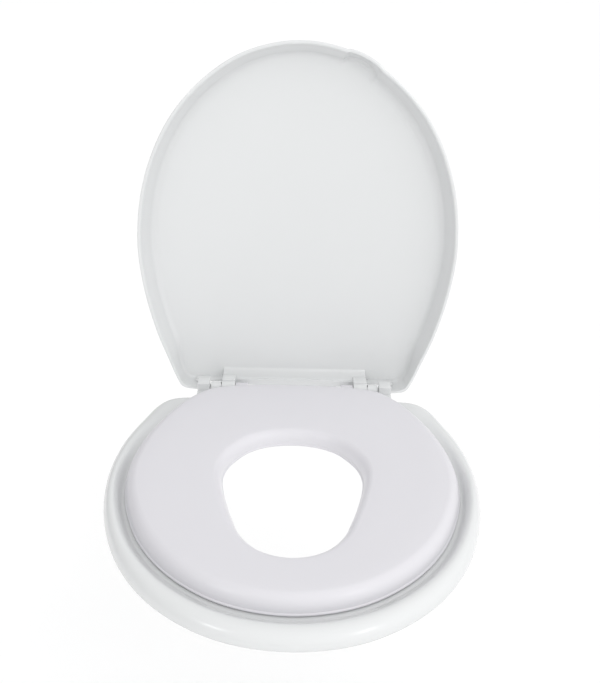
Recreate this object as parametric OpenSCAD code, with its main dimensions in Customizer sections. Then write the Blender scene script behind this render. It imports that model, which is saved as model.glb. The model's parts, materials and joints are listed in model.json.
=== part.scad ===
// Family toilet seat: an adult seat ring, a child seat ring that rests in it, and a lid, on one hinge
// line. +X is to the right, -Y is towards the front of the seat and +Z is up. The origin is midway
// between the two fixing bolts, on the top of the pan.

/* [Adult seat] */
// Width of the adult seat ring
seat_w = 370; // [330:1:400]
// Length of the adult seat ring, from the hinge line to its front
seat_l = 408; // [370:1:440]
// Height of the adult ring's lower edge above the pan
seat_gap = 8; // [6:0.5:12]
// Height of the adult ring's crest above its lower edge
seat_crest = 15; // [12:0.5:20]
// Height of the recess floor, which the child ring lies on, above the lower edge
recess_h = 5; // [5:0.5:6]
// Wall thickness of the moulded shells
wall = 3; // [2:0.25:3.5]

/* [Child seat] */
// Width of the child seat ring
child_w = 331; // [300:1:335]
// Length of the child seat ring, from the hinge line to its front
child_l = 374; // [335:1:380]
// Thickness of the child seat ring
child_t = 17.5; // [14:0.5:20]
// Width of the child seat's opening
hole_w = 139; // [115:1:150]
// Gap between the recess floor and the child ring, which the buffers fill
child_gap = 1.5; // [1:0.25:3]

/* [Lid] */
// Width of the lid
lid_w = 358; // [320:1:368]
// Length of the lid, from the hinge line to its front
lid_l = 387.5; // [350:1:406]
// Depth of the lid's dish, from its rim to its floor
lid_depth = 22; // [20:0.5:30]
// Width of the lid's flat rim
lid_rim = 3.6; // [3:0.1:6]
// Gap between the adult ring's crest and the closed lid's rim
lid_gap = 1.5; // [1:0.25:4]
// Opening angle of the lid
lid_open = 98; // [91:1:105]
// How far the thumb grip swells out of the lid's edge
grip_swell = 2.5; // [1:0.25:4]
// Distance of the thumb grip from the lid's middle
grip_x = 67; // [-90:1:90]
// Half the length of the thumb grip, measured across the lid
grip_half = 19; // [12:1:30]

/* [Hinge] */
// Distance between the two fixing bolts
bolt_spacing = 155; // [140:1:170]
// Height of the hinge line above the pan
hinge_z = 14; // [13:0.5:20]
// Radius of the hinge pins
pin_r = 2.5; // [2:0.1:3]
// Radial clearance of the hinge pins in their bores
pin_clear = 0.05; // [0.02:0.01:0.1]
// Gap between neighbouring hinge knuckles, along the hinge line
knuckle_gap = 0.6; // [0.3:0.1:1.5]
// Width of each of the seat's outer hinge lugs
lug_w = 14; // [10:0.5:18]
// Width of each hinge post
post_w = 12; // [10:0.5:16]
// Width of each of the lid's knuckles
lid_knuckle_w = 15.4; // [12:0.2:20]
// Width of each of the child ring's knuckles
child_knuckle_w = 14; // [10:0.5:20]

/* [Fixings] */
// Radius of the fixing bolts' shanks
bolt_r = 4; // [3:0.1:5]
// Length of the plain shank below the pan's top
shank_l = 22; // [16:1:40]
// Length of the threaded end
thread_l = 38; // [30:1:60]
// Radius of the hinge posts' feet
foot_r = 16; // [15:0.5:18]
// Thickness of the sealing pad under each foot
pad_t = 1.5; // [1:0.25:2]

/* [Hidden] */

steps = 3;             // Points on each stretch between two guide points of an outline
round_fn = 48;
recess_z = seat_gap + recess_h;
crest_z = seat_gap + seat_crest;
child_z = recess_z + child_gap;
rim_z = crest_z + lid_gap;
recess_clear = 1.5;    // The child ring's side clearance in the recess
back_s = 23;           // The adult ring's rear edge, in front of the hinge line

// The hinge line's stations, as distances from the middle of the seat
bolt_x = bolt_spacing / 2;
lid_in_x = bolt_x - 8.9;
lid_out_x = lid_in_x + lid_knuckle_w;
post_in_x = lid_out_x + knuckle_gap;
post_out_x = post_in_x + post_w;
lug_in_x = post_out_x + knuckle_gap;
lug_out_x = lug_in_x + lug_w;
child_out_x = lid_in_x - knuckle_gap;
child_in_x = child_out_x - child_knuckle_w;
child_knuckle_r = pin_r + 2.3;
lid_knuckle_r = pin_r + 4.2;
lid_knuckle_front = 9; // The lid's knuckles reach this far in front of the hinge line when it is closed
child_tab_y = -13;     // The child ring's two tabs end here, and its knuckles begin
post_r = pin_r + 3;
pin_bore_r = pin_r + pin_clear;
pin_head_r = pin_r + 1.5;
pin_head_t = 1.8;
notch_gap = 1.5;
lug_r = 8;             // Half height of the lugs
foot_t = 4.5;
head_r = bolt_r + 3.5;
head_t = 2.6;

// Half outlines, from the middle of the front round to the middle of the back. Each guide point is
// [distance from the middle, distance in front of the hinge line], for the standard sizes.
adult_half = [[0, 408], [62, 396.5], [116.5, 361], [155.5, 309], [178.5, 244], [185, 180], [178.5, 119],
    [164, 70], [150.5, 37], [137, 24.5], [110, 23], [60, 23], [0, 23]];
adult_hole_half = [[0, 338], [38, 330], [72, 306], [96, 268], [108, 228], [111, 190], [107, 155],
    [97, 124], [83, 101], [68, 87], [50, 79], [26, 75], [0, 74]];
child_half = [[0, 374], [57, 362.5], [104, 331.5], [138, 288], [158.5, 236], [165.5, 190], [161, 145],
    [147.5, 100], [128, 61], [113, 40.5], [96, 26], [56, 16.5], [0, 14]];
child_hole_half = [[0, 311], [26.5, 303], [44.5, 282.5], [55, 254.5], [62.5, 228.5], [68, 203], [69.5, 182],
    [65, 163.5], [55.5, 147.5], [45.5, 136], [33.5, 128], [17, 122.5], [0, 121]];
lid_half = [[0, 387.5], [59, 375.5], [106, 345], [143, 301.5], [169.5, 240], [179, 172], [174, 118],
    [160.5, 64], [146, 26], [137, 4], [131, -5.5], [119, -8.5], [60, -8.5], [0, -8.5]];
lid_core_half = [[0, 352], [46, 342], [83, 318], [112, 282], [131, 232], [138, 176], [135, 130],
    [126, 86], [114, 56], [104, 42], [93, 33], [78, 29], [40, 28], [0, 28]];

function scaled(half, w, l, w0, l0) = [for (p = half) [p[0] * w / w0, p[1] * l / l0]];

// A whole closed outline, in the seat's own X and Y, from a half outline
function closed(half) = let (n = len(half)) concat(
    [for (p = half) [p[0], -p[1]]],
    [for (i = [n - 2:-1:1]) [-half[i][0], -half[i][1]]]);

// A point of the smooth curve through four points, u along the stretch from b to c
function curve_at(a, b, c, d, u) = let (
    t1 = sqrt(norm(b - a)),
    t2 = t1 + sqrt(norm(c - b)),
    t3 = t2 + sqrt(norm(d - c)),
    t = t1 + (t2 - t1) * u,
    a1 = a * (t1 - t) / t1 + b * t / t1,
    a2 = b * (t2 - t) / (t2 - t1) + c * (t - t1) / (t2 - t1),
    a3 = c * (t3 - t) / (t3 - t2) + d * (t - t2) / (t3 - t2),
    b1 = a1 * (t2 - t) / t2 + a2 * t / t2,
    b2 = a2 * (t3 - t) / (t3 - t1) + a3 * (t - t1) / (t3 - t1))
    b1 * (t2 - t) / (t2 - t1) + b2 * (t - t1) / (t2 - t1);

function smooth_loop(p) = let (n = len(p)) [for (i = [0:n - 1]) for (k = [0:steps - 1])
    curve_at(p[(i + n - 1) % n], p[i], p[(i + 1) % n], p[(i + 2) % n], k / steps)];

function toward(a, b, d) = a + (b - a) * d / norm(b - a);
function level(loop, z) = [for (p = loop) [p[0], p[1], z]];
function inset(outer, inner, d) = [for (i = [0:len(outer) - 1]) toward(outer[i], inner[i], d)];
function clamp(v, lo, hi) = max(lo, min(hi, v));

adult_edge = smooth_loop(closed(scaled(adult_half, seat_w, seat_l, 370, 408)));
adult_hole = smooth_loop(closed(scaled(adult_hole_half, child_w, child_l, 331, 374)));
child_edge = smooth_loop(closed(scaled(child_half, child_w, child_l, 331, 374)));
child_hole = smooth_loop(closed(scaled(child_hole_half, hole_w, child_l, 139, 374)));
lid_core = smooth_loop(closed(scaled(lid_core_half, lid_w, lid_l, 358, 387.5)));
lid_plain_edge = smooth_loop(closed(scaled(lid_half, lid_w, lid_l, 358, 387.5)));
lid_edge = [for (i = [0:len(lid_plain_edge) - 1])
    toward(lid_plain_edge[i], lid_core[i], -grip_swell * grip_share(lid_plain_edge[i]))];

// The thumb grip: a short swelling of the lid's outline, beside the middle of its front
function grip_share(p) = let (d = abs(p[0] - grip_x) / grip_half) p[1] < -lid_l / 2 && d < 1 ? sqrt(1 - d * d) : 0;

// The recess's edge: the child ring's outline with its clearance, kept inside the adult ring
back_edge = back_s * seat_l / 408;
recess_edge = [for (i = [0:len(child_edge) - 1])
    let (p = toward(child_edge[i], child_hole[i], -recess_clear)) [p[0], min(p[1], -back_edge - 6)]];

// A tube of loops joined round into a ring: each loop is a list of points, and the last meets the first
module ring_loft(loops) {
    n = len(loops[0]);
    m = len(loops);
    faces = [for (j = [0:m - 1]) for (i = [0:n - 1]) for (h = [0:1])
        let (a = j * n + i, b = j * n + (i + 1) % n,
            c = ((j + 1) % m) * n + (i + 1) % n, d = ((j + 1) % m) * n + i)
        h == 0 ? [a, c, b] : [a, d, c]];
    polyhedron(points = [for (l = loops) each l], faces = faces, convexity = 6);
}

// The same, closed by a flat face at its first and last loops
module capped_loft(loops) {
    n = len(loops[0]);
    m = len(loops);
    sides = [for (j = [0:m - 2]) for (i = [0:n - 1]) for (h = [0:1])
        let (a = j * n + i, b = j * n + (i + 1) % n, c = (j + 1) * n + (i + 1) % n, d = (j + 1) * n + i)
        h == 0 ? [a, c, b] : [a, d, c]];
    faces = concat(sides, [[for (i = [0:n - 1]) i]], [[for (i = [n - 1:-1:0]) (m - 1) * n + i]]);
    polyhedron(points = [for (l = loops) each l], faces = faces, convexity = 6);
}

// A cylinder along X, from x0 to x1, on the hinge line
module along_hinge(r, x0, x1) {
    translate([x0, 0, hinge_z]) rotate([0, 90, 0]) cylinder(r = r, h = x1 - x0, $fn = round_fn);
}

module box_to(lo, hi) {
    translate(lo) cube(hi - lo);
}

// side is -1 for the left and 1 for the right
module on_side(side) {
    if (side < 0) mirror([1, 0, 0]) children();
    else children();
}

// The adult ring's surface rises from its edge to the crest and falls to the recess. Where the recess
// comes near the edge, at the back, the crest fades away. d is a place from 0 at the edge to 1 at the
// recess, and drop is the depth below the surface.
crest_at = 0.42;
function crest_share(i) = clamp(min((norm(adult_edge[i] - recess_edge[i]) - 13.5) / 5,
    (-back_edge - 9 - recess_edge[i][1]) / 8), 0, 1);
function adult_top(i, d) = let (
    top = recess_z + crest_share(i) * (crest_z - recess_z),
    edge_z = seat_gap + 2)
    d < crest_at ? edge_z + (top - edge_z) * sqrt(1 - pow(1 - d / crest_at, 2))
    : recess_z + (top - recess_z) * (1 + cos(180 * (d - crest_at) / (1 - crest_at))) / 2;
function adult_rim_loop(d, drop) = [for (i = [0:len(adult_edge) - 1])
    let (p = adult_edge[i] + (recess_edge[i] - adult_edge[i]) * d) [p[0], p[1], adult_top(i, d) - drop]];
rim_places = [0, 0.03, 0.1, 0.22, 0.42, 0.6, 0.8, 1];
rib_t = 2;
rib_foot_z = seat_gap + 0.6;
outline_n = len(adult_edge);
// Every fifth point of the outline, from the front round both sides as far as the rear corners
adult_rib_places = [for (i = [5:5:22]) each [i, outline_n - i]];

module adult_ring() {
    color("white") difference() {
        union() {
            ring_loft(concat(
                [level(inset(adult_edge, recess_edge, 0.8), seat_gap)],
                [for (d = rim_places) adult_rim_loop(d, 0)],
                [level(inset(adult_hole, recess_edge, 2.5), recess_z)],
                [level(inset(adult_hole, recess_edge, 0.6), recess_z - 1)],
                [level(adult_hole, recess_z - 2.5), level(adult_hole, seat_gap)],
                [level(inset(adult_hole, recess_edge, wall), seat_gap)],
                [level(inset(adult_hole, recess_edge, wall), recess_z - wall)],
                [level(recess_edge, recess_z - wall)],
                [for (d = [0.8, 0.6, 0.42, 0.24]) adult_rim_loop(d, wall)],
                [level(inset(adult_edge, recess_edge, wall), seat_gap)]));
            for (side = [-1, 1]) on_side(side) adult_lug();
            for (i = adult_rib_places) adult_rib(i);
        }
        along_hinge(pin_bore_r, -lug_out_x - 1, lug_out_x + 1);
        for (side = [-1, 1]) on_side(side)
            along_hinge(pin_head_r + 0.1, lug_out_x - pin_head_t - 0.1, lug_out_x + 1);
        for (side = [-1, 1]) on_side(side) adult_clear_of_foot();
    }
}

// A stiffening rib under the crest, at one point of the outline. Its ends and its top are sunk by half
// the wall into the shell.
module adult_rib(i) {
    span = recess_edge[i] - adult_edge[i];
    gap = norm(span);
    sink = wall / 2;
    tops = [for (d = [0.1, 0.22, 0.42, 0.6, 0.8, 1]) [d * gap, adult_top(i, d) - sink]];
    translate([adult_edge[i][0], adult_edge[i][1], 0]) rotate([90, 0, atan2(span[1], span[0])])
        linear_extrude(rib_t, center = true)
            polygon(concat([[sink, rib_foot_z], [gap + 4, rib_foot_z], [gap + 4, recess_z - sink]],
                [for (k = [len(tops) - 1:-1:0]) tops[k]], [[sink, seat_gap + 3]]));
}

// One of the adult ring's hinge lugs: a block on the hinge line and the arm that joins it to the ring
module adult_lug() {
    arm_z = seat_gap;
    box_to([lug_in_x, -lug_r, hinge_z - lug_r + 1], [lug_out_x, lug_r - 1.5, hinge_z + lug_r]);
    box_to([lug_in_x, -back_edge - 8, arm_z], [lug_out_x, -lug_r + 1, recess_z - 0.5]);
}

// Room round the hinge post's foot
module adult_clear_of_foot() {
    translate([bolt_x, 0, 0]) cylinder(r = foot_r + 1, h = pad_t + foot_t + 1, $fn = round_fn);
}

// The child ring: rounded at its outer edge and at its opening, with a thin lip at the foot of each
child_roll = 13;
hole_roll = 11;
function child_outer(angle) = level(inset(child_edge, child_hole, 1 + (child_roll - 1) * (1 - cos(angle))),
    child_z + 3 + (child_t - 3) * sin(angle));
function child_inner(angle) = level(inset(child_hole, child_edge, 1 + (hole_roll - 1) * (1 - cos(angle))),
    child_z + 3 + (child_t - 4) * sin(angle));

module child_ring() {
    color("lavender") difference() {
        union() {
            ring_loft(concat(
                [level(child_edge, child_z), level(child_edge, child_z + 2)],
                [for (angle = [0, 25, 50, 70, 90]) child_outer(angle)],
                [for (angle = [90, 65, 40, 15]) child_inner(angle)],
                [level(inset(child_hole, child_edge, 0), child_z + 2)],
                [level(inset(child_hole, child_edge, 0), child_z)],
                [level(inset(child_hole, child_edge, wall), child_z)],
                [level(inset(child_hole, child_edge, wall + 2), child_z + child_t - wall - 4)],
                [level(inset(child_hole, child_edge, hole_roll), child_z + child_t - wall - 1)],
                [level(inset(child_edge, child_hole, child_roll), child_z + child_t - wall)],
                [level(inset(child_edge, child_hole, wall + 3), child_z + child_t - wall - 3)],
                [level(inset(child_edge, child_hole, wall), child_z)]));
            for (side = [-1, 1]) on_side(side)
                box_to([child_in_x, -back_edge - 4, child_z], [child_out_x, child_tab_y, child_z + wall]);
            for (i = child_rib_places) child_rib(i);
        }
        for (side = [-1, 1]) on_side(side)
            box_to([child_in_x - 1, child_tab_y, child_z - 1], [child_out_x + 1, 0, child_z + 5]);
    }
}

// A stiffening rib across the underside of the child ring, from its outer wall to its inner one
child_rib_places = [for (i = [4, 13, 22, 31]) each [i, len(child_edge) - i]];
module child_rib(i) {
    span = child_hole[i] - child_edge[i];
    gap = norm(span);
    foot_z = child_z + 3;
    top_z = child_z + child_t - wall / 2;
    translate([child_edge[i][0], child_edge[i][1], 0]) rotate([90, 0, atan2(span[1], span[0])])
        linear_extrude(rib_t, center = true) polygon([[wall / 2 + 0.3, foot_z], [gap - wall / 2, foot_z],
            [gap - wall, top_z - 5], [gap - hole_roll, top_z - 1.4], [child_roll, top_z], [wall + 1.2, top_z - 4.5]]);
}

// One of the child ring's hinge knuckles, with the neck that meets the ring's tab
module child_knuckle(side) {
    color("lavender") on_side(side) difference() {
        union() {
            along_hinge(child_knuckle_r, child_in_x, child_out_x);
            box_to([child_in_x, child_tab_y, child_z], [child_out_x, 0, child_z + wall]);
        }
        along_hinge(pin_bore_r, child_in_x - 1, child_out_x + 1);
    }
}

// The lid and its knuckles are modelled as they lie when closed and then turned back about the hinge line
module opened() {
    translate([0, 0, hinge_z]) rotate([-lid_open, 0, 0]) translate([0, 0, -hinge_z]) children();
}

module lid() {
    color("white") opened() {
        difference() {
            lid_dish();
            lid_rear_cut();
        }
        lid_floor_plate();
        lid_bar();
        for (side = [-1, 1]) on_side(side)
            box_to([lid_in_x, -lid_knuckle_front, rim_z], [lid_out_x, 0, rim_z + 7]);
    }
}

bar_y = 1.5;           // The back of the lid's rear bar, which joins its knuckles
bar_t = 8.1;
notch_y = -11;         // The front of the notches in the lid's rear wall
floor_end_y = 2;       // The rear end of the dish's floor, between the lid's two corners
lid_floor_z = rim_z + lid_depth;
lid_top_z = lid_floor_z + wall;
lid_wall_lean = 8;     // How far the dish's wall leans in, from its rim to the foot of its fillet
// The lid's shell, from the dish's floor out over the rim and up to the slightly domed top
module lid_dish() {
    inner = [[lid_wall_lean + 9, 0], [lid_wall_lean + 4.5, -0.7], [lid_wall_lean + 1.6, -2.8],
        [lid_wall_lean, -6], [lid_wall_lean / 2, -lid_depth / 2 - 3]];
    outer = [[lid_wall_lean / 2, -lid_depth / 2 - 3], [lid_wall_lean, -5.5], [lid_wall_lean + 2, -1.6],
        [lid_wall_lean + 5.5, wall - 2], [lid_wall_lean + 11, wall - 0.5], [lid_wall_lean + 18, wall + 0.6],
        [lid_wall_lean + 27, wall + 1.5]];
    capped_loft(concat(
        [for (p = inner) level(inset(lid_edge, lid_core, lid_rim + p[0]), lid_floor_z + p[1])],
        [level(inset(lid_edge, lid_core, lid_rim), rim_z + 1),
        level(inset(lid_edge, lid_core, lid_rim - 0.7), rim_z),
        level(inset(lid_edge, lid_core, 0.7), rim_z),
        level(lid_edge, rim_z + 1)],
        [for (p = outer) level(inset(lid_edge, lid_core, p[0]), lid_floor_z + p[1])]));
}

// The gap in the lid's rear wall that the hinge posts, the seat's lugs and the lid's bar stand in, and
// the plate that carries the dish's floor on behind it
cut_x = lug_out_x + notch_gap;
module lid_rear_cut() {
    box_to([-cut_x, notch_y, rim_z - 1], [cut_x, 20, lid_top_z + 20]);
}
module lid_floor_plate() {
    box_to([-cut_x - 3, notch_y - 4, lid_floor_z], [cut_x + 3, floor_end_y, lid_floor_z + wall - 0.4]);
}

// The lid's rear bar: it rises from the rim and sweeps forward into the dish's floor, and a shallow step
// runs along its rim
module lid_bar() {
    step_x = lid_in_x - knuckle_gap;
    front_y = bar_y - bar_t;
    difference() {
        translate([-lid_out_x, 0, 0]) rotate([90, 0, 90]) linear_extrude(2 * lid_out_x) polygon([
            [bar_y, rim_z], [front_y, rim_z], [front_y - 0.5, rim_z + lid_depth / 3],
            [front_y - 2, lid_floor_z - 9], [front_y - 4.5, lid_floor_z - 4], [front_y - 8.5, lid_floor_z - 1],
            [front_y - 14, lid_floor_z + 0.2], [front_y - 14, lid_floor_z + 1.2], [bar_y, lid_floor_z + 1.2]]);
        box_to([-step_x, front_y - 1, rim_z - 1], [step_x, front_y + 1.2, rim_z + 2]);
    }
}

// One of the lid's hinge knuckles, which meets the lid at the level of its rim
module lid_knuckle(side) {
    color("white") opened() on_side(side) difference() {
        union() {
            along_hinge(lid_knuckle_r, lid_in_x, lid_out_x);
            box_to([lid_in_x, -lid_knuckle_front, hinge_z], [lid_out_x, -0.8, rim_z]);
        }
        along_hinge(pin_bore_r, lid_in_x - 1, lid_out_x + 1);
    }
}

// A hinge post: a round foot on the pan and an upright round the hinge pin
module hinge_post(side) {
    color("white") on_side(side) difference() {
        union() {
            translate([bolt_x, 0, pad_t]) cylinder(r = foot_r, h = foot_t, $fn = 64);
            along_hinge(post_r, post_in_x, post_out_x);
            box_to([post_in_x, -post_r, pad_t + 1], [post_out_x, post_r, hinge_z]);
        }
        translate([bolt_x, 0, 0]) cylinder(r = bolt_r + 0.8, h = 20, $fn = round_fn);
        translate([bolt_x, 0, pad_t + foot_t - head_t - 0.2]) cylinder(r = head_r + 0.3, h = 20, $fn = round_fn);
        along_hinge(pin_bore_r, post_in_x - 1, post_out_x + 1);
    }
}

module hinge_pin(side) {
    color("gainsboro") on_side(side) {
        along_hinge(pin_r, child_in_x + 1, lug_out_x - 0.2);
        along_hinge(pin_head_r, lug_out_x - pin_head_t, lug_out_x - 0.2);
    }
}

// A fixing bolt: its head is sunk in the post's foot, its plain shank passes through the pan, and the
// wing nut runs on the end
module fixing_bolt(side) {
    thread_r = bolt_r - 0.05;
    head_z = pad_t + foot_t - head_t - 0.2;
    color("whitesmoke") on_side(side) translate([bolt_x, 0, 0]) {
        translate([0, 0, head_z]) cylinder(r = head_r, h = head_t, $fn = round_fn);
        cylinder(r = bolt_r + 0.4, h = head_z, $fn = round_fn);
        translate([0, 0, -shank_l]) cylinder(r = bolt_r, h = shank_l, $fn = round_fn);
        translate([0, 0, -shank_l - thread_l]) cylinder(r = thread_r, h = thread_l, $fn = round_fn);
    }
}

module sealing_pad(side) {
    color("lightgray") on_side(side) translate([bolt_x, 0, 0]) difference() {
        cylinder(r = foot_r, h = pad_t, $fn = 64);
        translate([0, 0, -1]) cylinder(r = bolt_r + 1.3, h = pad_t + 2, $fn = round_fn);
    }
}

washer_r = 14;
washer_t = 2;
module washer(side) {
    color("lightgray") on_side(side) translate([bolt_x, 0, -shank_l - washer_t]) difference() {
        cylinder(r = washer_r, h = washer_t, $fn = 64);
        translate([0, 0, -1]) cylinder(r = bolt_r + 0.4, h = washer_t + 2, $fn = round_fn);
    }
}

nut_h = 14;
nut_r = 9;
module wing_nut(side) {
    color("whitesmoke") on_side(side) translate([bolt_x, 0, -shank_l - washer_t - nut_h]) difference() {
        union() {
            cylinder(r = nut_r, h = nut_h, $fn = 64);
            translate([0, 0, nut_h - 3]) cylinder(r = nut_r + 3, h = 3, $fn = 64);
            for (turn = [0, 180]) rotate([0, 0, turn]) wing();
        }
        translate([0, 0, -1]) cylinder(r = bolt_r, h = nut_h + 2, $fn = round_fn);
    }
}

// One wing of the nut: a thin plate with a rounded outer end
module wing() {
    wing_l = 19;
    wing_t = 3.5;
    tip_r = 5;
    translate([0, wing_t / 2, 0]) rotate([90, 0, 0]) linear_extrude(wing_t) difference() {
        union() {
            translate([6, 0]) square([wing_l - tip_r - 6, nut_h - 1]);
            translate([wing_l - tip_r, 1 - tip_r + nut_h - 2]) circle(tip_r, $fn = 32);
            translate([wing_l - tip_r - 1, 3]) square([tip_r - 1, nut_h - 2 - tip_r]);
        }
    }
}

// A buffer: a rubber pad with rounded ends, standing under a ring's shell
module buffer(x, s, turn, length, width, z0, z1) {
    color("gainsboro") translate([x, -s, z0]) rotate([0, 0, turn]) linear_extrude(z1 - z0) {
        square([length - width, width], center = true);
        for (e = [-1, 1]) translate([e * (length - width) / 2, 0]) circle(width / 2, $fn = 32);
    }
}

// The seat's buffers stand between the pan and the adult ring's recess floor
module seat_buffer(side, x, s, turn) {
    on_side(side) buffer(x * child_w / 331, s * child_l / 374, turn, 34, 16, 0, recess_z - wall);
}

// The child ring's buffers stand between the recess floor and the child ring's shell
module child_buffer(side, x, s, turn) {
    on_side(side) buffer(x * child_w / 331, s * child_l / 374, turn, 20, 8, recess_z, child_z + child_t - wall - 2.2);
}

module child_knuckle_left() { child_knuckle(-1); }
module child_knuckle_right() { child_knuckle(1); }
module lid_knuckle_left() { lid_knuckle(-1); }
module lid_knuckle_right() { lid_knuckle(1); }
module hinge_post_left() { hinge_post(-1); }
module hinge_post_right() { hinge_post(1); }
module hinge_pin_left() { hinge_pin(-1); }
module hinge_pin_right() { hinge_pin(1); }
module fixing_bolt_left() { fixing_bolt(-1); }
module fixing_bolt_right() { fixing_bolt(1); }
module sealing_pad_left() { sealing_pad(-1); }
module sealing_pad_right() { sealing_pad(1); }
module washer_left() { washer(-1); }
module washer_right() { washer(1); }
module wing_nut_left() { wing_nut(-1); }
module wing_nut_right() { wing_nut(1); }
module seat_buffer_front_left() { seat_buffer(-1, 92, 318, 45); }
module seat_buffer_front_right() { seat_buffer(1, 92, 318, 45); }
module seat_buffer_rear_left() { seat_buffer(-1, 135, 120, -75); }
module seat_buffer_rear_right() { seat_buffer(1, 135, 120, -75); }
module child_buffer_front_left() { child_buffer(-1, 78, 322, 35); }
module child_buffer_front_right() { child_buffer(1, 78, 322, 35); }
module child_buffer_rear_left() { child_buffer(-1, 132, 120, -65); }
module child_buffer_rear_right() { child_buffer(1, 132, 120, -65); }

adult_ring();
child_ring();
lid();
child_knuckle_left();
child_knuckle_right();
lid_knuckle_left();
lid_knuckle_right();
hinge_post_left();
hinge_post_right();
hinge_pin_left();
hinge_pin_right();
fixing_bolt_left();
fixing_bolt_right();
sealing_pad_left();
sealing_pad_right();
washer_left();
washer_right();
wing_nut_left();
wing_nut_right();
seat_buffer_front_left();
seat_buffer_front_right();
seat_buffer_rear_left();
seat_buffer_rear_right();
child_buffer_front_left();
child_buffer_front_right();
child_buffer_rear_left();
child_buffer_rear_right();
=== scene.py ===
import json
import math

import bmesh
import bpy
from mathutils import Matrix, Vector


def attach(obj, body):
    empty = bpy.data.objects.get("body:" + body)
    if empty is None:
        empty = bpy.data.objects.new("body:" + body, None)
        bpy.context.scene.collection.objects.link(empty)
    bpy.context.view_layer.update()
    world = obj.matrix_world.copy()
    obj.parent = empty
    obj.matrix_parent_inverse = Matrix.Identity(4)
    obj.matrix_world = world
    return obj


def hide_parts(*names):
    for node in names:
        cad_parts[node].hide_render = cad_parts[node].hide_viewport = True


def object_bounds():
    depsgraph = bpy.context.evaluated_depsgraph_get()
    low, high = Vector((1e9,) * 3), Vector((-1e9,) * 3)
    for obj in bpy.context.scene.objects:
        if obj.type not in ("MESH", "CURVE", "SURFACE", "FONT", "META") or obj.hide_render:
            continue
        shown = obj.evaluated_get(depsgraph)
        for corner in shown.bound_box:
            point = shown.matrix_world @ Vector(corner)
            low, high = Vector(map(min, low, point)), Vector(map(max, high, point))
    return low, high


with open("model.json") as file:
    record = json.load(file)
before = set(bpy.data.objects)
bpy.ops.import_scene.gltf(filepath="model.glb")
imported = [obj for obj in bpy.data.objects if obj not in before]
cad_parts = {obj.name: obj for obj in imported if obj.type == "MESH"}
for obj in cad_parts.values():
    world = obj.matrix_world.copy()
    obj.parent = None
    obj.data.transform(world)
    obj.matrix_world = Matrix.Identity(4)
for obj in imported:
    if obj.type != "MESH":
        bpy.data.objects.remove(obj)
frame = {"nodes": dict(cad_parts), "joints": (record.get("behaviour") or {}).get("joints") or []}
cad_low, cad_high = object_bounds()

MM = 0.001

# Main sizes of the seat, in metres. Heights are above the pan and the hinge line is at y = 0.
HINGE_Z = frame["joints"][0]["pos_m"][2]
LEAN = math.radians(98.0)
WALL = 3.0 * MM
SEAT_GAP = 8.0 * MM
RECESS_Z = 13.0 * MM
CREST_Z = 23.0 * MM
CHILD_Z = 14.5 * MM
CHILD_T = 17.5 * MM
RIM_Z = 24.5 * MM
LID_DEPTH = 22.0 * MM
LID_RIM = 3.6 * MM
LID_LEAN = 8.0 * MM
LID_FLOOR_Z = RIM_Z + LID_DEPTH
LID_TOP_Z = LID_FLOOR_Z + WALL
RECESS_CLEAR = 1.5 * MM
BACK_EDGE = 23.0 * MM
STEPS = 6
LID_STEPS = 24

# Along the hinge line, outwards from the middle: from and to
CHILD_KNUCKLE_X = (54.0 * MM, 68.0 * MM)
LID_KNUCKLE_X = (68.6 * MM, 84.0 * MM)
LUG_X = (97.8 * MM, 111.8 * MM)
REAR_CUT_X = 112.7 * MM

# Half outlines from the middle of the front round to the middle of the back: (distance from the
# middle, distance in front of the hinge line), in millimetres.
ADULT_HALF = [(0, 408), (62, 396.5), (116.5, 361), (155.5, 309), (178.5, 244), (185, 180), (178.5, 119),
              (164, 70), (150.5, 37), (137, 24.5), (110, 23), (60, 23), (0, 23)]
ADULT_HOLE_HALF = [(0, 338), (38, 330), (72, 306), (96, 268), (108, 228), (111, 190), (107, 155),
                   (97, 124), (83, 101), (68, 87), (50, 79), (26, 75), (0, 74)]
CHILD_HALF = [(0, 374), (57, 362.5), (104, 331.5), (138, 288), (158.5, 236), (165.5, 190), (161, 145),
              (147.5, 100), (128, 61), (113, 40.5), (96, 26), (56, 16.5), (0, 14)]
CHILD_HOLE_HALF = [(0, 311), (26.5, 303), (44.5, 282.5), (55, 254.5), (62.5, 228.5), (68, 203), (69.5, 182),
                   (65, 163.5), (55.5, 147.5), (45.5, 136), (33.5, 128), (17, 122.5), (0, 121)]
LID_HALF = [(0, 387.5), (59, 375.5), (106, 345), (143, 301.5), (169.5, 240), (179, 172), (174, 118),
            (160.5, 64), (146, 26), (137, 4), (131, -5.5), (119, -8.5), (60, -8.5), (0, -8.5)]
LID_CORE_HALF = [(0, 352), (46, 342), (83, 318), (112, 282), (131, 232), (138, 176), (135, 130),
                 (126, 86), (114, 56), (104, 42), (93, 33), (78, 29), (40, 28), (0, 28)]


# ---------------------------------------------------------------- outlines

def closed(half):
    """The whole outline in metres, in X and Y, from a half outline."""
    right = [Vector((x, -s, 0)) * MM for x, s in half]
    left = [Vector((-x, -s, 0)) * MM for x, s in half[-2:0:-1]]
    return right + left


def curve_at(a, b, c, d, u):
    """A point of the smooth curve through four points, u along the stretch from b to c."""
    t1 = math.sqrt((b - a).length)
    t2 = t1 + math.sqrt((c - b).length)
    t3 = t2 + math.sqrt((d - c).length)
    t = t1 + (t2 - t1) * u
    a1 = a.lerp(b, t / t1)
    a2 = b.lerp(c, (t - t1) / (t2 - t1))
    a3 = c.lerp(d, (t - t2) / (t3 - t2))
    b1 = a1.lerp(a2, t / t2)
    b2 = a2.lerp(a3, (t - t1) / (t3 - t1))
    return b1.lerp(b2, (t - t1) / (t2 - t1))


def smooth_loop(points, steps=STEPS):
    n = len(points)
    return [curve_at(points[i - 1], points[i], points[(i + 1) % n], points[(i + 2) % n], k / steps)
            for i in range(n) for k in range(steps)]


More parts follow.
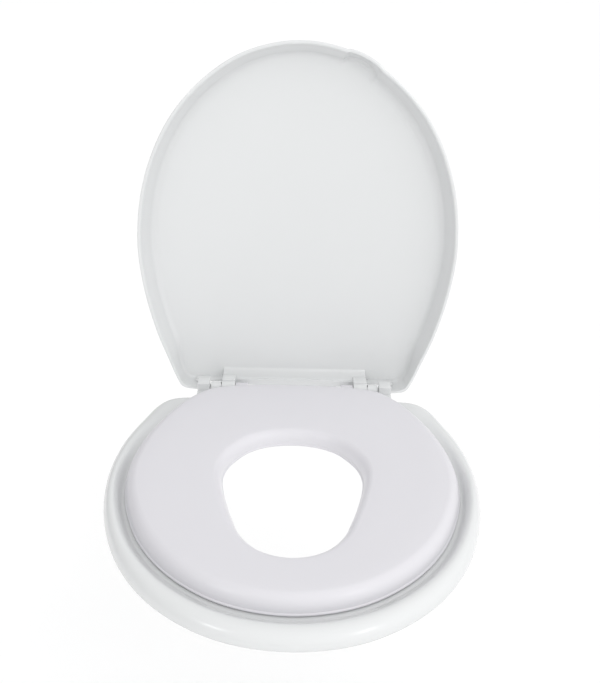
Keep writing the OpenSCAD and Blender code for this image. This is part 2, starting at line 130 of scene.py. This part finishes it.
def toward(a, b, d):
    return a + (b - a).normalized() * d


def inset(outer, inner, d):
    return [toward(a, b, d) for a, b in zip(outer, inner)]


def level(loop, z):
    return [Vector((p.x, p.y, z)) for p in loop]


def clamp(value, low, high):
    return max(low, min(high, value))


# ---------------------------------------------------------------- mesh building

def loft(bm, loops, joined):
    """Extrudes a closed row of edges through the loops; joined brings the last one back to the first."""
    ring = [bm.verts.new(p) for p in loops[0]]
    edges = [bm.edges.new((ring[i - 1], ring[i])) for i in range(len(ring))]
    first_edges = list(edges)
    for loop in loops[1:]:
        made = bmesh.ops.extrude_edge_only(bm, edges=edges)["geom"]
        new_verts = {v for v in made if isinstance(v, bmesh.types.BMVert)}
        edges = [e for e in made if isinstance(e, bmesh.types.BMEdge)]
        ring = [next(e.other_vert(v) for e in v.link_edges if e.other_vert(v) in new_verts) for v in ring]
        for v, p in zip(ring, loop):
            v.co = p
    if joined:
        bmesh.ops.bridge_loops(bm, edges=first_edges + edges)
    else:
        for rim in (first_edges, edges):
            cap(bm, rim)


def cap(bm, rim):
    """Closes a row of edges with a face."""
    bmesh.ops.contextual_create(bm, geom=rim)


def finish_mesh(name, bm, body, material, nodes=(), smooth_angle=None):
    """Makes the finished piece, smooth apart from edges sharper than smooth_angle degrees."""
    bmesh.ops.recalc_face_normals(bm, faces=bm.faces)
    for face in bm.faces:
        face.smooth = True
    if smooth_angle:
        limit = math.radians(smooth_angle)
        for edge in bm.edges:
            edge.smooth = len(edge.link_faces) == 2 and edge.calc_face_angle(0) < limit
    mesh = bpy.data.meshes.new(name)
    bm.to_mesh(mesh)
    bm.free()
    piece = bpy.data.objects.new(name, mesh)
    bpy.context.scene.collection.objects.link(piece)
    mesh.materials.append(material)
    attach(piece, body)
    if nodes:
        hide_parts(*nodes)


def box_bm(bm, low, high, bevel=0.0):
    """A box between two corners, with its edges rounded."""
    low, high = Vector(low), Vector(high)
    made = bmesh.ops.create_cube(bm, size=1.0, matrix=Matrix.Translation((low + high) / 2)
                                 @ Matrix.Diagonal((*(high - low), 1.0)))
    if bevel:
        edges = {e for v in made["verts"] for e in v.link_edges}
        round_edges(bm, edges, bevel)


def rod_bm(bm, r, x0, x1, bevel):
    """A rod on the hinge line, its two ends rounded."""
    turn = Matrix.Rotation(math.radians(90), 4, "Y")
    place = Matrix.Translation(((x0 + x1) / 2, 0, HINGE_Z)) @ turn
    made = bmesh.ops.create_cone(bm, cap_ends=True, cap_tris=False, segments=48, radius1=r, radius2=r,
                                 depth=x1 - x0, matrix=place)
    caps = {f for v in made["verts"] for f in v.link_faces if len(f.verts) > 4}
    round_edges(bm, {e for f in caps for e in f.edges}, bevel)


def round_edges(bm, edges, size, segments=3):
    bmesh.ops.bevel(bm, geom=list(edges), offset=size, segments=segments, profile=0.5, affect="EDGES",
                    material=-1)


def span(side, reach):
    """The two ends along X, low first, of something on the left (-1) or right (1) of the middle."""
    return sorted((side * reach[0], side * reach[1]))


# ---------------------------------------------------------------- materials

def moulded(name, color, roughness, speckle, bump, coat=0.0):
    """Moulded plastic: a faint flow mottling, fine surface grain and slightly uneven gloss."""
    mat = bpy.data.materials.new(name)
    mat.use_nodes = True
    nodes, links = mat.node_tree.nodes, mat.node_tree.links
    shader = nodes["Principled BSDF"]
    coords = nodes.new("ShaderNodeTexCoord")
    flow = nodes.new("ShaderNodeTexNoise")
    flow.inputs["Scale"].default_value = 9.0
    flow.inputs["Detail"].default_value = 3.0
    grain = nodes.new("ShaderNodeTexNoise")
    grain.inputs["Scale"].default_value = 900.0
    grain.inputs["Detail"].default_value = 2.0
    tint = nodes.new("ShaderNodeMix")
    tint.data_type = "RGBA"
    dark = [c * (1 - speckle) for c in color]
    tint.inputs["A"].default_value = (*dark, 1)
    tint.inputs["B"].default_value = (*color, 1)
    gloss = nodes.new("ShaderNodeMapRange")
    gloss.inputs["To Min"].default_value = roughness * 0.85
    gloss.inputs["To Max"].default_value = roughness * 1.2
    relief = nodes.new("ShaderNodeBump")
    relief.inputs["Strength"].default_value = bump
    relief.inputs["Distance"].default_value = 0.0001
    for noise in (flow, grain):
        links.new(coords.outputs["Object"], noise.inputs["Vector"])
    links.new(flow.outputs["Fac"], tint.inputs["Factor"])
    links.new(tint.outputs["Result"], shader.inputs["Base Color"])
    links.new(flow.outputs["Fac"], gloss.inputs["Value"])
    links.new(gloss.outputs["Result"], shader.inputs["Roughness"])
    links.new(grain.outputs["Fac"], relief.inputs["Height"])
    links.new(relief.outputs["Normal"], shader.inputs["Normal"])
    shader.inputs["Coat Weight"].default_value = coat
    shader.inputs["Coat Roughness"].default_value = 0.08
    return mat


seat_white = moulded("seat_white_gloss", (0.69, 0.70, 0.703), 0.22, 0.012, 0.06, coat=0.2)
child_lilac = moulded("child_seat_lilac_satin", (0.665, 0.657, 0.688), 0.34, 0.012, 0.15, coat=0.08)
hinge_nylon = moulded("hinge_pin_nylon", (0.72, 0.73, 0.73), 0.3, 0.02, 0.1)
fixing_nylon = moulded("fixing_nylon", (0.76, 0.76, 0.73), 0.38, 0.03, 0.2)
pad_rubber = moulded("sealing_pad_rubber", (0.55, 0.56, 0.56), 0.62, 0.05, 0.5)
buffer_rubber = moulded("buffer_rubber", (0.70, 0.71, 0.71), 0.5, 0.04, 0.3)


# ---------------------------------------------------------------- adult ring

adult_edge = smooth_loop(closed(ADULT_HALF))
adult_hole = smooth_loop(closed(ADULT_HOLE_HALF))
child_edge = smooth_loop(closed(CHILD_HALF))
child_hole = smooth_loop(closed(CHILD_HOLE_HALF))
recess_edge = []
for outer, inner in zip(child_edge, child_hole):
    p = toward(outer, inner, -RECESS_CLEAR)
    recess_edge.append(Vector((p.x, min(p.y, -BACK_EDGE - 6 * MM), 0)))
CREST_AT = 0.42
CREST_LOW, CREST_HIGH = 70 * MM, 200 * MM


def adult_top(i, d):
    """Height of the ring's top, with d from 0 at its edge to 1 at the recess.

    The crest is full from CREST_HIGH forward of the hinge line and sinks to nothing at CREST_LOW.
    """
    share = clamp((-recess_edge[i].y - CREST_LOW) / (CREST_HIGH - CREST_LOW), 0, 1)
    top = RECESS_Z + share * (CREST_Z - RECESS_Z)
    edge_z = SEAT_GAP + 2 * MM
    if d < CREST_AT:
        return edge_z + (top - edge_z) * math.sqrt(1 - (1 - d / CREST_AT) ** 2)
    return RECESS_Z + (top - RECESS_Z) * (1 + math.cos(math.pi * (d - CREST_AT) / (1 - CREST_AT))) / 2


def adult_rim_loop(d, drop=0.0):
    loop = []
    for i, (a, b) in enumerate(zip(adult_edge, recess_edge)):
        p = a.lerp(b, d)
        loop.append(Vector((p.x, p.y, adult_top(i, d) - drop)))
    return loop


def adult_ring():
    bm = bmesh.new()
    rise = [CREST_AT * (1 - math.cos(math.radians(a))) for a in range(0, 91, 10)]
    fall = [CREST_AT + (1 - CREST_AT) * k / 10 for k in range(1, 11)]
    loops = [level(inset(adult_edge, recess_edge, 1.2 * MM), SEAT_GAP),
             level(inset(adult_edge, recess_edge, 0.3 * MM), SEAT_GAP + 0.5 * MM)]
    loops += [adult_rim_loop(d) for d in rise + fall]
    loops += [level(inset(adult_hole, recess_edge, d * MM), RECESS_Z - z * MM)
              for d, z in ((8, 0), (2.5, 0), (1.2, 0.3), (0.4, 1.1), (0, 2.4))]
    loops += [level(inset(adult_hole, recess_edge, d * MM), SEAT_GAP + z * MM)
              for d, z in ((0, 1.0), (0.4, 0.2), (1.0, 0), (2.6, 0), (WALL / MM, 0.4))]
    loops += [level(inset(adult_hole, recess_edge, WALL + 1 * MM), RECESS_Z - WALL),
              level(recess_edge, RECESS_Z - WALL)]
    loops += [adult_rim_loop(d, WALL) for d in (0.9, 0.8, 0.7, 0.6, 0.5, 0.42, 0.34, 0.26)]
    loops += [level(inset(adult_edge, recess_edge, WALL + 0.2 * MM), SEAT_GAP + 2 * MM),
              level(inset(adult_edge, recess_edge, WALL), SEAT_GAP + 0.3 * MM),
              level(inset(adult_edge, recess_edge, WALL - 0.6 * MM), SEAT_GAP)]
    loft(bm, loops, joined=True)
    finish_mesh("adult_ring_shell", bm, "adult_seat", seat_white, ["adult_ring"])


def hinge_lugs():
    """The adult ring's outer lugs, with the arms that join them to the ring."""
    for side, name in ((-1, "left"), (1, "right")):
        bm = bmesh.new()
        x0, x1 = span(side, LUG_X)
        box_bm(bm, (x0, -8 * MM, HINGE_Z - 7 * MM), (x1, 6.5 * MM, HINGE_Z + 8 * MM), 0.9 * MM)
        box_bm(bm, (x0, -31 * MM, SEAT_GAP), (x1, -7 * MM, RECESS_Z - 0.5 * MM), 0.8 * MM)
        finish_mesh(f"adult_seat_lug_{name}", bm, "adult_seat", seat_white, smooth_angle=35)


# ---------------------------------------------------------------- child ring

CHILD_ROLL = 13 * MM
HOLE_ROLL = 11 * MM


def rolled(edge, core, roll, rise, angles):
    """The loops of an edge that rolls over from the side to the top, at these angles in degrees."""
    loops = []
    for angle in map(math.radians, angles):
        depth = 1 * MM + (roll - 1 * MM) * (1 - math.cos(angle))
        loops.append(level(inset(edge, core, depth), CHILD_Z + 3 * MM + rise * math.sin(angle)))
    return loops


def child_ring():
    bm = bmesh.new()
    top = CHILD_Z + CHILD_T
    loops = [level(inset(child_edge, child_hole, d * MM), CHILD_Z + z * MM)
             for d, z in ((0.6, 0), (0.1, 0.3), (0, 0.8), (0, 1.5), (0.25, 2.0), (0.7, 2.3), (1.0, 2.6))]
    loops += rolled(child_edge, child_hole, CHILD_ROLL, CHILD_T - 3 * MM, range(0, 91, 9))
    outer_top = level(inset(child_edge, child_hole, CHILD_ROLL), top)
    inner_top = level(inset(child_hole, child_edge, HOLE_ROLL), top - 1 * MM)
    for share in (0.25, 0.5, 0.75):
        loops.append([a.lerp(b, share) for a, b in zip(outer_top, inner_top)])
    loops += rolled(child_hole, child_edge, HOLE_ROLL, CHILD_T - 4 * MM, range(90, -1, -10))
    loops += [level(inset(child_hole, child_edge, d * MM), CHILD_Z + z * MM)
              for d, z in ((1.0, 2.4), (0.6, 2.1), (0.2, 1.9), (0, 1.5), (0, 0.5), (0.4, 0),
                           (WALL / MM - 0.4, 0), (WALL / MM, 0.4))]
    loops += [level(inset(child_hole, child_edge, WALL + 2 * MM), top - WALL - 4 * MM),
              level(inset(child_hole, child_edge, HOLE_ROLL), top - WALL - 1 * MM),
              level(inset(child_edge, child_hole, CHILD_ROLL), top - WALL),
              level(inset(child_edge, child_hole, WALL + 3 * MM), top - WALL - 3 * MM),
              level(inset(child_edge, child_hole, WALL), CHILD_Z + 0.4 * MM),
              level(inset(child_edge, child_hole, WALL - 0.5 * MM), CHILD_Z)]
    loft(bm, loops, joined=True)
    finish_mesh("child_ring_shell", bm, "child_seat", child_lilac, ["child_ring"])


def child_knuckles():
    for side, name in ((-1, "left"), (1, "right")):
        bm = bmesh.new()
        x0, x1 = span(side, CHILD_KNUCKLE_X)
        rod_bm(bm, 4.8 * MM, x0, x1, 0.5 * MM)
        box_bm(bm, (x0 + 0.1 * MM, -27 * MM, CHILD_Z), (x1 - 0.1 * MM, 0, CHILD_Z + WALL), 0.6 * MM)
        finish_mesh(f"child_seat_knuckle_{name}", bm, "child_seat", child_lilac,
                    [f"child_knuckle_{name}"], smooth_angle=35)


# ---------------------------------------------------------------- lid

lid_core = smooth_loop(closed(LID_CORE_HALF), LID_STEPS)
GRIP_X, GRIP_HALF, GRIP_SWELL, GRIP_SCOOP = 67 * MM, 19 * MM, 2.5 * MM, 0.5
REAR_STEEPER = 0.62


def grip_share(p):
    """1 in the middle of the thumb grip, falling steeply to 0 at its two ends."""
    d = abs(p.x - GRIP_X) / GRIP_HALF
    if p.y > -200 * MM or d >= 1:
        return 0.0
    return (1 - d ** 6) ** 0.5 * (1 - 0.45 * d * d)


lid_plain_edge = smooth_loop(closed(LID_HALF), LID_STEPS)
lid_grip = [grip_share(p) for p in lid_plain_edge]
lid_edge = [toward(p, q, -GRIP_SWELL * g) for p, q, g in zip(lid_plain_edge, lid_core, lid_grip)]


def smoothstep(value, low, high):
    t = clamp((value - low) / (high - low), 0, 1)
    return t * t * (3 - 2 * t)


# The dish's rear wall is steep, its sides lean in, and the thumb grip is scooped out of the wall
lid_rear = [1 - smoothstep(-p.y, 2 * MM, 42 * MM) for p in lid_plain_edge]


def lid_loop(d, z, rim=0.0):
    """A loop of the lid's shell at the height z: inside the flat rim, or outside it with a rim of 0."""
    loop = []
    for p, q, rear, grip in zip(lid_edge, lid_core, lid_rear, lid_grip):
        scoop = 1 - GRIP_SCOOP * grip if rim else 1
        loop.append(toward(p, q, rim + d * (1 - REAR_STEEPER * rear) * scoop))
    return level(loop, z)


def lid_shell_bm():
    """The dish's floor, its leaning wall, the flat rim and the outside up to the domed top."""
    rim, lean, depth = LID_RIM / MM, LID_LEAN / MM, LID_DEPTH / MM
    bm = bmesh.new()
    fillet = [(lean + 14, 0.1), (lean + 9, -0.1), (lean + 6.6, -0.5), (lean + 4.6, -1.2),
              (lean + 2.8, -2.3), (lean + 1.4, -3.8), (lean + 0.4, -5.6), (lean - 0.3, -7.5)]
    wall = [(lean / 2, 9), (1.5, 3.5), (0.4, 1.2)]
    flat = [(rim - 0.1, 0.4), (rim - 0.8, 0), (1.2, 0), (0.35, 0.35), (0, 1.2)]
    outside = [(0.5, 3.5 - depth), (lean / 2 - 0.4, 8 - depth), (lean - 1.2, -8.5), (lean + 0.1, -5),
               (lean + 2, -1.8), (lean + 5, 0.7), (lean + 11, 2.4), (lean + 18, 3.5), (lean + 27, 4.4)]
    loops = [lid_loop(d * MM, LID_FLOOR_Z + z * MM, LID_RIM) for d, z in fillet]
    loops += [lid_loop(d * MM, RIM_Z + z * MM, LID_RIM) for d, z in wall]
    loops += [level(inset(lid_edge, lid_core, d * MM), RIM_Z + z * MM) for d, z in flat]
    loops += [lid_loop(d * MM, LID_FLOOR_Z + z * MM) for d, z in outside]
    loft(bm, loops, joined=False)
    return bm


# The lid's pieces are built closed, then turned open about the hinge line
to_hinge = Matrix.Translation((0, 0, HINGE_Z))
OPENED = to_hinge @ Matrix.Rotation(-LEAN, 4, "X") @ to_hinge.inverted()


def work_piece(name, bm):
    """A piece for the boolean steps only."""
    bmesh.ops.recalc_face_normals(bm, faces=bm.faces)
    mesh = bpy.data.meshes.new(name)
    bm.to_mesh(mesh)
    bm.free()
    piece = bpy.data.objects.new(name, mesh)
    bpy.context.scene.collection.objects.link(piece)
    return piece


def opened(name, bm, nodes=(), smooth_angle=35):
    bmesh.ops.transform(bm, matrix=OPENED, verts=bm.verts)
    finish_mesh(name, bm, "lid", seat_white, nodes, smooth_angle)


def bar_profile():
    """The rear bar's section, as (Y, Z): up from the rim and forward into the dish's floor."""
    front, back = -6.6 * MM, 1.5 * MM
    points = [(back, RIM_Z)]
    points += [(front + y * MM, RIM_Z + z * MM)
               for y, z in ((1.4, 0), (1.2, 1.6), (0.9, 2), (0.3, 2.1), (0, 2.6))]
    points += [(front - y * MM, LID_FLOOR_Z + z * MM)
               for y, z in ((0.06, -18), (0.16, -15), (0.32, -12), (0.56, -9.4), (0.92, -7), (1.4, -4.9),
                            (2, -3.1), (2.72, -1.7), (3.56, -0.7), (4.56, -0.05), (5.6, 0.2), (5.6, 1))]
    return points + [(back, LID_FLOOR_Z + 1 * MM)]


def sweep_bm(bm, section, x0, x1, bevel):
    """A section in Y and Z carried from x0 to x1, its two ends rounded."""
    face = bm.faces.new([bm.verts.new((x0, y, z)) for y, z in section])
    made = bmesh.ops.extrude_face_region(bm, geom=[face])["geom"]
    moved = [v for v in made if isinstance(v, bmesh.types.BMVert)]
    bmesh.ops.translate(bm, verts=moved, vec=(x1 - x0, 0, 0))
    ends = [f for f in bm.faces if len(f.verts) == len(section)]
    round_edges(bm, {e for f in ends for e in f.edges}, bevel, segments=2)


def lid_shell():
    """The shell with its rear cut away between the lugs, then closed by a plate and a low wall."""
    side = REAR_CUT_X + 3 * MM
    steps = (("rear_cut", "DIFFERENCE", (-REAR_CUT_X, -11 * MM, RIM_Z - 5 * MM),
              (REAR_CUT_X, 20 * MM, LID_TOP_Z + 20 * MM)),
             ("floor_plate", "UNION", (-side, -15 * MM, LID_FLOOR_Z + 0.15 * MM),
              (side, 2 * MM, LID_FLOOR_Z + 2.6 * MM)),
             ("low_wall", "UNION", (-side, 0, HINGE_Z + 20 * MM),
              (side, 1.9 * MM, LID_FLOOR_Z + 1 * MM)))
    shell = work_piece("lid_work", lid_shell_bm())
    boxes = []
    for name, way, low, high in steps:
        bm = bmesh.new()
        box_bm(bm, low, high)
        boxes.append(work_piece(name, bm))
        step = shell.modifiers.new(name, "BOOLEAN")
        step.operation = way
        step.solver = "EXACT"
        step.object = boxes[-1]
    bpy.context.view_layer.update()
    done = bpy.data.meshes.new_from_object(shell.evaluated_get(bpy.context.evaluated_depsgraph_get()))
    for piece in boxes + [shell]:
        bpy.data.objects.remove(piece)
    bm = bmesh.new()
    bm.from_mesh(done)
    opened("lid_shell", bm, ["lid"], 30)


def lid_hinge():
    """The rear bar, and the lid's knuckles with the blocks that join them to it."""
    bm = bmesh.new()
    sweep_bm(bm, bar_profile(), -LID_KNUCKLE_X[1], LID_KNUCKLE_X[1], 0.6 * MM)
    opened("lid_hinge_bar", bm)
    for side, name in ((-1, "left"), (1, "right")):
        bm = bmesh.new()
        x0, x1 = span(side, LID_KNUCKLE_X)
        rod_bm(bm, 6.7 * MM, x0, x1, 0.5 * MM)
        box_bm(bm, (x0, -9 * MM, HINGE_Z), (x1, -0.8 * MM, RIM_Z + 7 * MM), 0.8 * MM)
        opened(f"lid_hinge_knuckle_{name}", bm, [f"lid_knuckle_{name}"])


# ---------------------------------------------------------------- scene

# The studio is brightest in front, above and on the right, and falls away to the left and behind
BRIGHT_SIDE = (0.66, -0.42, 0.62)
SKY_DARK, SKY_BRIGHT = 0.16, 1.45
SOFTBOX_X, SOFTBOX_Y, SOFTBOX_Z = 1.3, -1.5, 1.3
SOFTBOX_SIZE = 0.4
SOFTBOX_WATTS = 3
FLOOR_Z, FLOOR_HALF = -0.40, 8.0


def softbox(name, x):
    place = Vector((x, SOFTBOX_Y, SOFTBOX_Z))
    aim = (cad_low + cad_high) / 2
    light = bpy.data.lights.new(name, "AREA")
    light.shape = "SQUARE"
    light.size = SOFTBOX_SIZE
    light.energy = SOFTBOX_WATTS
    lamp = bpy.data.objects.new(name, light)
    lamp.location = place
    lamp.rotation_mode = "QUATERNION"
    lamp.rotation_quaternion = (aim - place).to_track_quat("-Z", "Y")
    bpy.context.scene.collection.objects.link(lamp)


def studio():
    scene = bpy.context.scene
    scene.view_settings.view_transform = "Standard"
    world = bpy.data.worlds.new("studio")
    world.use_nodes = True
    nodes, links = world.node_tree.nodes, world.node_tree.links
    sky = nodes["Background"]
    sky.inputs["Color"].default_value = (1, 1, 1, 1)
    coords = nodes.new("ShaderNodeTexCoord")
    facing = nodes.new("ShaderNodeVectorMath")
    facing.operation = "DOT_PRODUCT"
    facing.inputs[1].default_value = Vector(BRIGHT_SIDE).normalized()
    strength = nodes.new("ShaderNodeMapRange")
    strength.inputs["From Min"].default_value = -1
    strength.inputs["To Min"].default_value = SKY_DARK
    strength.inputs["To Max"].default_value = SKY_BRIGHT
    links.new(coords.outputs["Generated"], facing.inputs[0])
    links.new(facing.outputs["Value"], strength.inputs["Value"])
    links.new(strength.outputs["Result"], sky.inputs["Strength"])
    scene.world = world

    softbox("softbox_left", -SOFTBOX_X)
    softbox("softbox_right", SOFTBOX_X)

    bm = bmesh.new()
    bmesh.ops.create_grid(bm, x_segments=1, y_segments=1, size=FLOOR_HALF,
                          matrix=Matrix.Translation((0, 0, FLOOR_Z)))
    mesh = bpy.data.meshes.new("floor")
    bm.to_mesh(mesh)
    bm.free()
    floor = bpy.data.objects.new("floor", mesh)
    scene.collection.objects.link(floor)
    white = bpy.data.materials.new("studio_floor")
    white.use_nodes = True
    paint = white.node_tree.nodes["Principled BSDF"]
    paint.inputs["Base Color"].default_value = (0.95, 0.95, 0.95, 1)
    paint.inputs["Roughness"].default_value = 0.9
    mesh.materials.append(white)


def camera():
    cam = bpy.data.cameras.new("camera")
    cam.sensor_width = 36.0
    cam.lens = 52.7086
    rig = bpy.data.objects.new("camera", cam)
    right = Vector((0.99969524, 0.00339624, 0.02445191))
    up = Vector((-0.02317967, 0.46990236, 0.882414))
    back = right.cross(up)
    pose = Matrix((right, up, back)).transposed().to_4x4()
    pose.translation = Vector((-0.004483, -1.001264, 0.608305))
    rig.matrix_world = pose
    cam.clip_start, cam.clip_end = 0.05, 30
    bpy.context.scene.collection.objects.link(rig)
    bpy.context.scene.camera = rig


camera()
studio()
adult_ring()
hinge_lugs()
child_ring()
child_knuckles()
lid_shell()
lid_hinge()

PLAIN_PIECES = {
    "hinge_post": seat_white,
    "hinge_pin": hinge_nylon,
    "fixing_bolt": fixing_nylon,
    "washer": fixing_nylon,
    "wing_nut": fixing_nylon,
    "sealing_pad": pad_rubber,
    "seat_buffer": buffer_rubber,
    "child_buffer": buffer_rubber,
}
for prefix, material in PLAIN_PIECES.items():
    for name, node in frame["nodes"].items():
        if name.startswith(prefix):
            node.data.materials.clear()
            node.data.materials.append(material)
